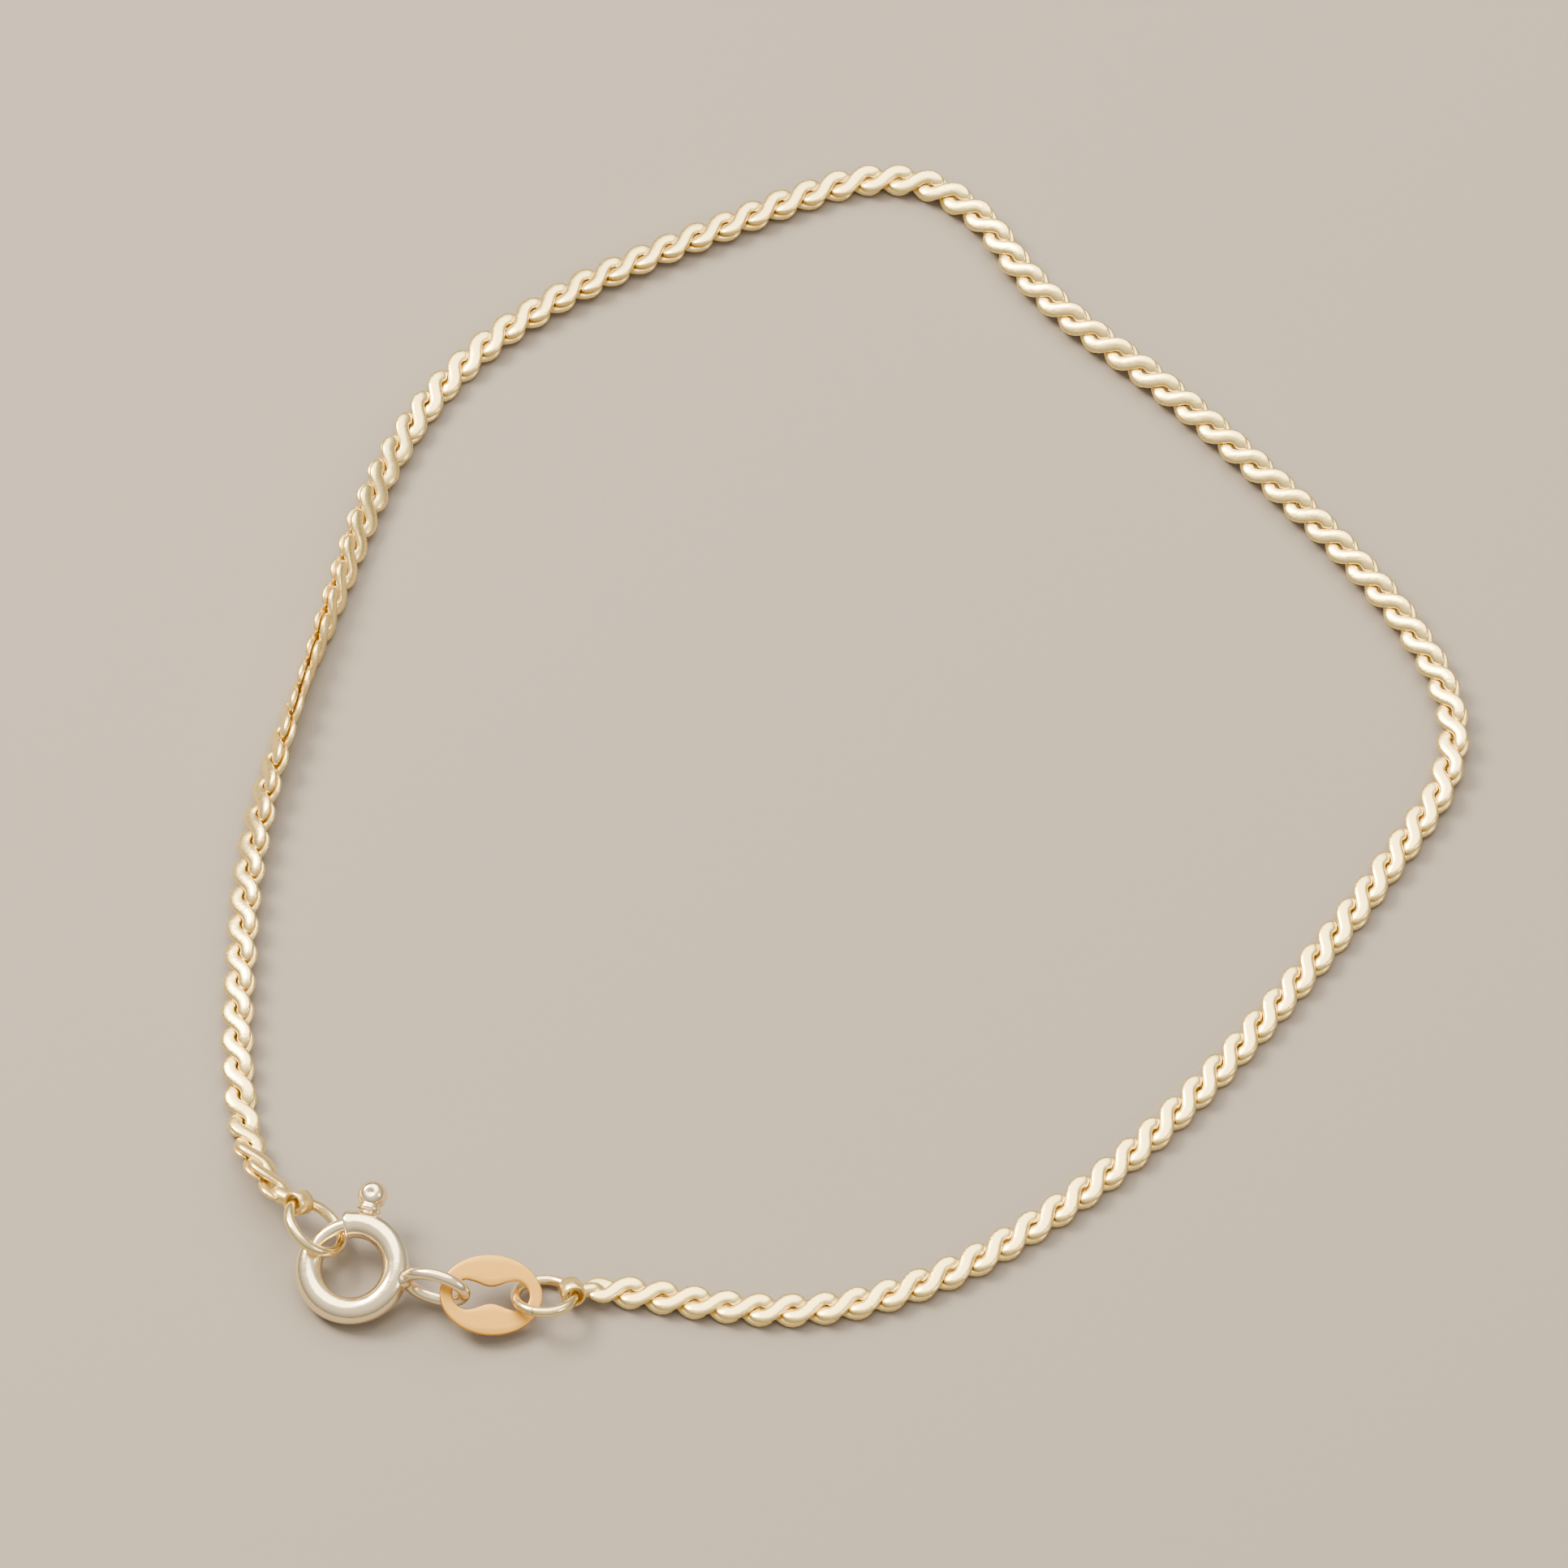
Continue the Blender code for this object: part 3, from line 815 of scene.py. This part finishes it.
def makeTag(t):
    work = bmesh.new()
    rim = bmesh.ops.create_circle(work, segments=t["rimSegments"], radius=1.0)["verts"]
    bmesh.ops.scale(work, vec=(t["halfLength"], t["halfWidth"], 1), verts=rim)
    inner = bmesh.ops.create_circle(work, segments=t["rimSegments"], radius=1.0)["verts"]
    end = t["slotHalfLength"] - t["slotEndRadius"]
    for vert in inner:
        # round ends joined by edges that bow in toward the middle
        x, y = vert.co.x * t["slotHalfLength"], vert.co.y
        if abs(x) < end:
            bow = cos(pi * (abs(x) / end) / 2) ** 2
            reach = t["slotEndRadius"] * t["slotShoulder"] * (1 - bow) + t["slotWaist"] * bow
        else:
            reach = max(t["slotEndRadius"] ** 2 - (abs(x) - end) ** 2, 0.0) ** 0.5
        vert.co.x = x
        vert.co.y = reach if y >= 0 else -reach
        if abs(y) < 1e-4:
            vert.co.y = 0.0
    bmesh.ops.bridge_loops(work, edges=work.edges[:])
    bmesh.ops.subdivide_edges(
        work,
        edges=[e for e in work.edges if len(e.link_faces) == 2],
        cuts=t["bands"],
    )
    made = bmesh.ops.extrude_face_region(work, geom=work.faces[:])["geom"]
    lifted = [g for g in made if isinstance(g, bmesh.types.BMVert)]
    bmesh.ops.translate(work, vec=(0, 0, t["thickness"]), verts=lifted)
    bmesh.ops.translate(work, vec=(0, 0, -t["thickness"] / 2), verts=work.verts)
    bmesh.ops.recalc_face_normals(work, faces=work.faces)
    # only where a flat side meets the rim or the slot's wall
    sharp = [e for e in work.edges if e.calc_face_angle(0) > t["cornerAngle"]]
    bmesh.ops.bevel(
        work,
        geom=sharp,
        offset=t["edge"],
        offset_type="OFFSET",
        affect="EDGES",
        segments=t["edgeSteps"],
        profile=0.5,
        material=-1,
    )

    def tarnishedAndShaded(co):
        # darker where the rings rub, at both ends of the slot: tarnish, and painted shade under the
        # rings
        ends = fade(abs(co.x), *t["rubAlong"])
        return t["tarnish_and_shade"] + t["rubTarnishAndShade"] * ends * (1 - fade(abs(co.y), *t["rubAcross"]))

    markTarnishAndShade(work, tarnishedAndShaded)
    bmesh.ops.transform(work, matrix=placed(t["centre"], leaningAxes(*t["lean"])), verts=work.verts)
    finishPiece(
        "end_tag_plate",
        work,
        "bracelet",
        "chain_tag",
        "stamped_sterling_silver_sheet",
        sharp=35,
    )


makeTag(tag)


# chain: two rows of flat S links, back to back, hooked at every lobe

chainLinks = {
    "pitch": 1.545,
    "wireHalfWidth": 0.375,
    "wireHalfThickness": 0.195,
    "rowThickness": 0.38,
    "rowGap": 0.04,
    "halfWidth": 0.81,
    "linkReach": 0.75,  # pitches from a link's middle to each end
    "sectionCorners": 8,
    "sectionSquareness": 3.1,
    # eyes of the hooks and the side toward the other row: painted shade, with some tarnish
    "hookTarnishAndShade": (0.04, 0.4, 0.10, 0.30),
    "backTarnishAndShade": (0.0, 0.45, 0.06, 0.20),
    "looseTurn": 1.2,
    "looseShift": 0.010,
    "frontSeed": 11,
    "backSeed": 23,
    "samplesPerSpan": 16,
    "endEyeRadius": 0.505,
    "endEyeWire": 0.085,
    "endEyeWidth": 0.95,
    "endEyeShift": 0.03,
    "endEyeTarnish": 0.5,
    "endNeckRadius": 0.38,
    "endNeckShares": (0.9, 1.0, 0.95, 0.5),
    "endNeckSegments": 20,
    "endNeckDepth": 0.35,
    "endNeckTarnish": 0.55,
}

# half of a link's centre line: along in pitches, across in mm, height in mm, and its shares of
# the wire's width and thickness; the other half is the same, turned half round
linkHalf = [
    (0.00, 0.00, 0.010, 1.04, 1.00),
    (0.20, 0.325, 0.008, 1.05, 1.00),
    (0.45, 0.475, -0.005, 1.09, 0.98),
    (0.68, 0.35, -0.035, 1.05, 0.90),
    (0.77, 0.09, -0.110, 0.90, 0.60),
]

# route of the chain: x and y in mm, roll in degrees, height in mm above lying on the table
chainRoute = [
    ("clasp end", -26.95, -26.30, -50, 0.73),
    ("first links", -28.17, -24.30, -38, 0.37),
    ("first turn", -28.70, -22.62, -12, 0.08),
    ("left low", -29.08, -20.20, 8, 0.0),
    ("left flat", -29.30, -16.12, 20, 0.0),
    ("left flat end", -29.10, -9.77, 24, 0.0),
    ("twist start", -28.76, -6.63, 30, 0.0),
    ("twist low", -28.21, -3.58, 42, 0.0),
    ("twist half", -27.45, -0.53, 60, 0.0),
    ("on edge", -26.55, 2.59, 82, 0.0),
    ("past edge", -25.60, 5.66, 102, 0.0),
    ("twist high", -24.65, 8.92, 122, 0.0),
    ("leaning", -23.79, 11.90, 138, 0.0),
    ("leaning less", -22.65, 15.04, 152, 0.0),
    ("upper left", -21.06, 18.14, 168, 0.0),
    ("upper left turn", -19.31, 20.55, 180, 0.0),
    ("upper left end", -17.14, 22.70, 187, 0.0),
    ("top left", -14.01, 24.97, 190, 0.0),
    ("top", -10.32, 27.00, 190, 0.0),
    ("top middle", -6.65, 28.73, 188, 0.0),
    ("crown start", -2.57, 30.64, 184, 0.0),
    ("crown", 0.15, 31.62, 178, 0.0),
    ("crown end", 2.58, 31.72, 172, 0.0),
    ("crown turn", 4.65, 31.06, 166, 0.0),
    ("upper right turn", 6.83, 29.12, 158, 0.0),
    ("upper right", 8.68, 26.19, 154, 0.0),
    ("right slope", 11.07, 23.41, 154, 0.0),
    ("right slope low", 15.29, 19.66, 156, 0.0),
    ("right slope middle", 19.59, 15.24, 157, 0.0),
    ("right slope end", 23.64, 10.66, 156, 0.0),
    ("right bend start", 26.02, 7.52, 154, 0.0),
    ("right bend high", 27.61, 4.99, 154, 0.0),
    ("right bend", 28.80, 2.41, 156, 0.0),
    ("rightmost", 29.30, -0.36, 162, 0.0),
    ("right bend low", 28.58, -3.40, 170, 0.0),
    ("right bend end", 26.98, -6.08, 176, 0.0),
    ("lower right", 23.47, -11.21, 180, 0.0),
    ("lower right slope", 19.76, -16.11, 180, 0.0),
    ("lower right middle", 15.85, -20.74, 180, 0.0),
    ("lower right end", 11.64, -24.88, 180, 0.0),
    ("bottom right", 7.02, -28.35, 180, 0.0),
    ("bottom turn", 4.53, -29.76, 180, 0.0),
    ("bottom", 1.93, -30.85, 180, 0.0),
    ("bottom middle", -0.73, -31.53, 180, 0.0),
    ("bottom low", -3.45, -31.72, 180, 0.0),
    ("bottom left", -6.19, -31.48, 180, 0.0),
    ("tag side", -8.92, -31.03, 180, 0.0),
    ("tag side end", -11.10, -30.70, 180, 0.04),
    ("tag end", -12.25, -30.76, 180, 0.24),
]


def rollHeight(roll, c):
    # height of the chain's middle where its rolled section touches the table
    turned = radians(roll)
    halfThickness = c["rowThickness"] + c["rowGap"] / 2
    return c["halfWidth"] * abs(sin(turned)) + halfThickness * abs(cos(turned))


class Route:
    def __init__(self, c):
        # smooth curve through the stations
        perSpan = c["samplesPerSpan"]
        stations = [Vector((x, y, roll, lift)) for _, x, y, roll, lift in chainRoute]
        stations = [stations[0] * 2 - stations[1]] + stations + [stations[-1] * 2 - stations[-2]]
        samples = []
        for index in range(1, len(stations) - 2):
            before, start, end, after = stations[index - 1 : index + 3]
            for part in range(perSpan):
                t = part / perSpan
                slope, nextSlope = (end - before) / 2, (after - start) / 2
                value = start * (2 * t**3 - 3 * t**2 + 1) + slope * (t**3 - 2 * t**2 + t)
                samples.append(value + end * (3 * t**2 - 2 * t**3) + nextSlope * (t**3 - t**2))
        samples.append(stations[-2])
        heights = [rollHeight(s[2], c) + s[3] for s in samples]
        flatSpots = [Vector((s[0], s[1], 0)) + tableShift for s in samples]
        self.centres = [spot + Vector((0, 0, h)) for spot, h in zip(flatSpots, heights)]
        self.rolls = [s[2] for s in samples]
        self.lengths = [0.0]
        for first, second in zip(self.centres, self.centres[1:]):
            self.lengths.append(self.lengths[-1] + (second - first).length)
        self.length = self.lengths[-1]

    def at(self, distance):
        # centre, direction, sideways axis and face normal at this distance
        low, high = 0, len(self.lengths) - 2
        while low < high:
            middle = (low + high + 1) // 2
            if self.lengths[middle] <= distance:
                low = middle
            else:
                high = middle - 1
        share = (distance - self.lengths[low]) / (self.lengths[low + 1] - self.lengths[low])
        centre = self.centres[low].lerp(self.centres[low + 1], share)
        roll = radians(self.rolls[low] * (1 - share) + self.rolls[low + 1] * share)
        before = self.centres[max(low - 3, 0)]
        after = self.centres[min(low + 4, len(self.centres) - 1)]
        along = (after - before).normalized()
        left = Vector((0, 0, 1)).cross(along).normalized()
        up = along.cross(left)
        return centre, along, left * cos(roll) - up * sin(roll), up * cos(roll) + left * sin(roll)


def makeLink(c, pitch):
    # one flattened wire bent to an S, its upper face up, lying from the row's middle height
    halves = [(-x, -y, z, w, t) for x, y, z, w, t in reversed(linkHalf[1:])]
    stations = halves + linkHalf
    middle = c["rowGap"] / 2 + c["rowThickness"] / 2
    line = [Vector((x * pitch, y, z + middle)) for x, y, z, _, _ in stations]
    places = []
    for index, spot in enumerate(line):
        ahead = line[min(index + 1, len(line) - 1)] - line[max(index - 1, 0)]
        ahead = Vector((ahead.x, ahead.y, 0)).normalized()
        across = Vector((ahead.y, -ahead.x, 0))
        _, _, _, width, thick = stations[index]
        size = (c["wireHalfWidth"] * width, c["wireHalfThickness"] * thick)
        places.append(sectionMatrix(spot, across, Vector((0, 0, 1)), *size))
    work = bmesh.new()
    sweep(work, places, c["sectionCorners"])
    # press the round section flatter, with soft corners
    power = 2 / c["sectionSquareness"]
    work.verts.ensure_lookup_table()
    for index, place in enumerate(places):
        inverse = place.inverted()
        for corner in range(c["sectionCorners"]):
            vert = work.verts[index * c["sectionCorners"] + corner]
            flat = inverse @ vert.co
            flat.x = (1 if flat.x > 0 else -1) * abs(flat.x) ** power
            flat.y = (1 if flat.y > 0 else -1) * abs(flat.y) ** power
            vert.co = place @ flat

    # painted shade, with some tarnish: darker in the eyes that the hooks close round, and on the
    # side toward the other row
    def fromEye(co):
        return min(Vector((co.x - side * 0.5 * pitch, co.y)).length for side in (-1, 1))

    hookRule = nearTarnishAndShade(fromEye, *c["hookTarnishAndShade"])
    backRule = nearTarnishAndShade(lambda co: co.z, *c["backTarnishAndShade"])
    markTarnishAndShade(work, lambda co: hookRule(co) + backRule(co))
    mesh = bpy.data.meshes.new("linkPattern")
    work.to_mesh(mesh)
    work.free()
    return mesh


def makeChainRow(name, route, c, pitch, count, side, seed):
    # side is 1 for the front row, and -1 for the back row, which is the same turned over
    draw = random.Random(seed)
    pattern = makeLink(c, pitch)
    work = bmesh.new()
    for number in range(count):
        done = len(work.verts)
        work.from_mesh(pattern)
        work.verts.ensure_lookup_table()
        # real links sit a little loose: small turns and shifts, different for each
        turn = radians(draw.uniform(-c["looseTurn"], c["looseTurn"]))
        tip = draw.uniform(-c["looseShift"], c["looseShift"])
        slide = draw.uniform(-c["looseShift"], c["looseShift"])
        start = (number + c["linkReach"]) * pitch + slide
        for vert in work.verts[done:]:
            x = vert.co.x * cos(turn) - vert.co.y * sin(turn)
            y = vert.co.x * sin(turn) + vert.co.y * cos(turn)
            z = vert.co.z + tip * x
            centre, _, sideways, normal = route.at(start + x)
            vert.co = centre + sideways * y * side + normal * z * side
    bpy.data.meshes.remove(pattern)
    finishPiece(
        name,
        work,
        "bracelet",
        "chain",
        "tumbled_sterling_silver_chain",
        subdivisions=1,
    )


def ringContact(j, toward, c):
    # the spot of a jump ring nearest to the chain's end, and the wire's direction there
    axes = leaningAxes(*j["lean"])
    centre = Vector(j["centre"]) + tableShift
    away = toward - centre
    away = (away - away.dot(axes[2]) * axes[2]).normalized()
    return centre + away * (j["radius"] - c["endEyeShift"]), axes[2].cross(away)


def makeEndEye(name, j, near, deep, c):
    # small barrel that the jump ring passes through, its neck brazed into the last link
    spot, axis = ringContact(j, near, c)
    place = Matrix.Translation(spot) @ axis.to_track_quat("Z", "Y").to_matrix().to_4x4()
    half, r, w = c["endEyeWidth"] / 2, c["endEyeRadius"], c["endEyeWire"]
    work = bmesh.new()
    ringProfile = [  # radius and height in mm, with rounded rims
        (r - w, -half + 0.05),
        (r - w + 0.04, -half),
        (r + w - 0.06, -half),
        (r + w, -half + 0.06),
        (r + w, half - 0.06),
        (r + w - 0.06, half),
        (r - w + 0.04, half),
        (r - w, half - 0.05),
        (r - w, -half + 0.05),
    ]
    lathe(work, ringProfile, place)
    markTarnishAndShade(work, evenTarnish(c["endEyeTarnish"]))
    inward = (near - spot).normalized()
    neck = bmesh.new()
    line = [spot + inward * (r + 0.02), near, near.lerp(deep, 0.5), deep]
    places = []
    for index, (point, share) in enumerate(zip(line, c["endNeckShares"])):
        ahead = (line[min(index + 1, 3)] - line[max(index - 1, 0)]).normalized()
        across = (axis - axis.dot(ahead) * ahead).normalized()
        size = c["endNeckRadius"] * share
        places.append(sectionMatrix(point, across, ahead.cross(across), size, size))
    sweep(neck, places, c["endNeckSegments"])
    markTarnishAndShade(neck, evenTarnish(c["endNeckTarnish"]))
    join(work, neck)
    finishPiece(
        name,
        work,
        "bracelet",
        "chain",
        "tumbled_sterling_silver_chain",
        sharp=50,
    )


def makeChain(c):
    # whole links only; each is longer than its pitch, so a row is that much longer than its count
    route = Route(c)
    overlap = 2 * c["linkReach"] - 1
    count = round(route.length / c["pitch"] - overlap)
    pitch = route.length / (count + overlap)
    makeChainRow("chain_links_front_row", route, c, pitch, count, 1, c["frontSeed"])
    makeChainRow("chain_links_back_row", route, c, pitch, count, -1, c["backSeed"])
    ends = (
        ("chain_end_eye_clasp_side", jumpRings["jump_ring_clasp"], 0.0, 1),
        ("chain_end_eye_tag_side", jumpRings["jump_ring_tag"], route.length, -1),
    )
    for name, j, distance, way in ends:
        near = route.at(distance)[0]
        deep = route.at(distance + way * pitch * c["endNeckDepth"])[0]
        makeEndEye(name, j, near, deep, c)
    sizes = [round(value, 4) for value in (pitch, route.length)]
    print("chain made:", count, "links a row, pitch and length in mm:", sizes)


makeChain(chainLinks)
